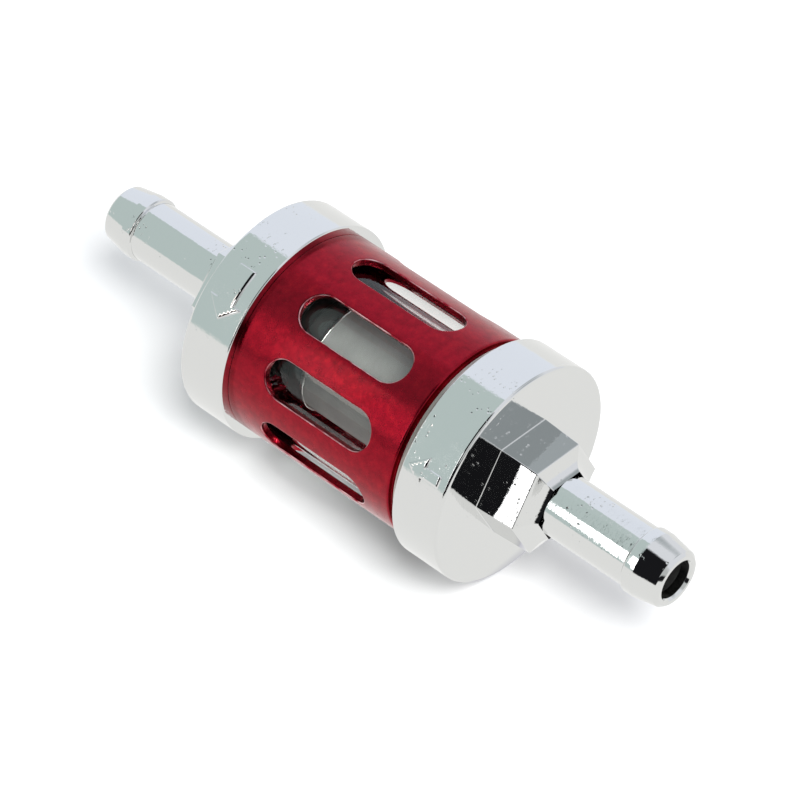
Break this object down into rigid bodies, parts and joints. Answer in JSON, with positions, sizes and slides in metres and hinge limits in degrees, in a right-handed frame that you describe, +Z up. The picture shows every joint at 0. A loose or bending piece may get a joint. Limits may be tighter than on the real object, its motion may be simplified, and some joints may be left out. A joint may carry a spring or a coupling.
{
  "type": "fuel filter",
  "caption": "In-line fuel filter for small engines: plated end caps with hexagons and barbed hose tails, slotted red sleeve over a glass tube, mesh element on a spring.",
  "frame": {"origin": "centre of the filter, on its axis, halfway between the two hose tail tips", "axes": "+X along the axis towards the inlet tip, so fuel flows towards -X; +Z up when the filter lies on a bench as pictured"},
  "size_m": [0.09, 0.0292, 0.0292],
  "materials": {
    "chrome_plate": "bright plating on a zinc casting",
    "red_anodised": "satin red anodising",
    "clear_glass": "clear",
    "black_rubber": "matte",
    "steel_mesh": "fine woven wire",
    "grey_nylon": "moulded",
    "black_nylon": "moulded",
    "bright_steel": "bright drawn"
  },
  "bodies": {
    "housing": {"outlet_cap": "chrome_plate", "cage_sleeve": "red_anodised", "glass_tube": "clear_glass", "outlet_gasket": "black_rubber", "element_seat_washer": "black_rubber", "element_spring": "bright_steel"},
    "element": {"element_mesh": "steel_mesh", "element_core": "grey_nylon", "element_outlet_ring": "black_nylon", "element_inlet_disc": "black_nylon", "element_band_outlet": "bright_steel", "element_band_inlet": "bright_steel"},
    "cap_seal": {"inlet_gasket": "black_rubber"},
    "cap": {"inlet_cap": "chrome_plate"}
  },
  "joints": [
    {"name": "cap_travel", "type": "slide", "parent": "housing", "child": "cap_seal", "axis": [1, 0, 0], "range_m": [0, 0.00425]},
    {"name": "cap_turn", "type": "hinge", "parent": "cap_seal", "child": "cap", "pos_m": [0.0173, 0, 0], "axis": [1, 0, 0], "range_deg": [0, 1531]},
    {"name": "element_lift", "type": "slide", "parent": "housing", "child": "element", "axis": [1, 0, 0], "range_m": [0, 0.0015], "stiffness_N_per_m": 150, "springref_m": -0.0005, "deforming": ["element_spring"]}
  ],
  "couplings": [
    {"joint": "cap_turn", "follows": "cap_travel", "rad_per_m": 6283.2}
  ]
}
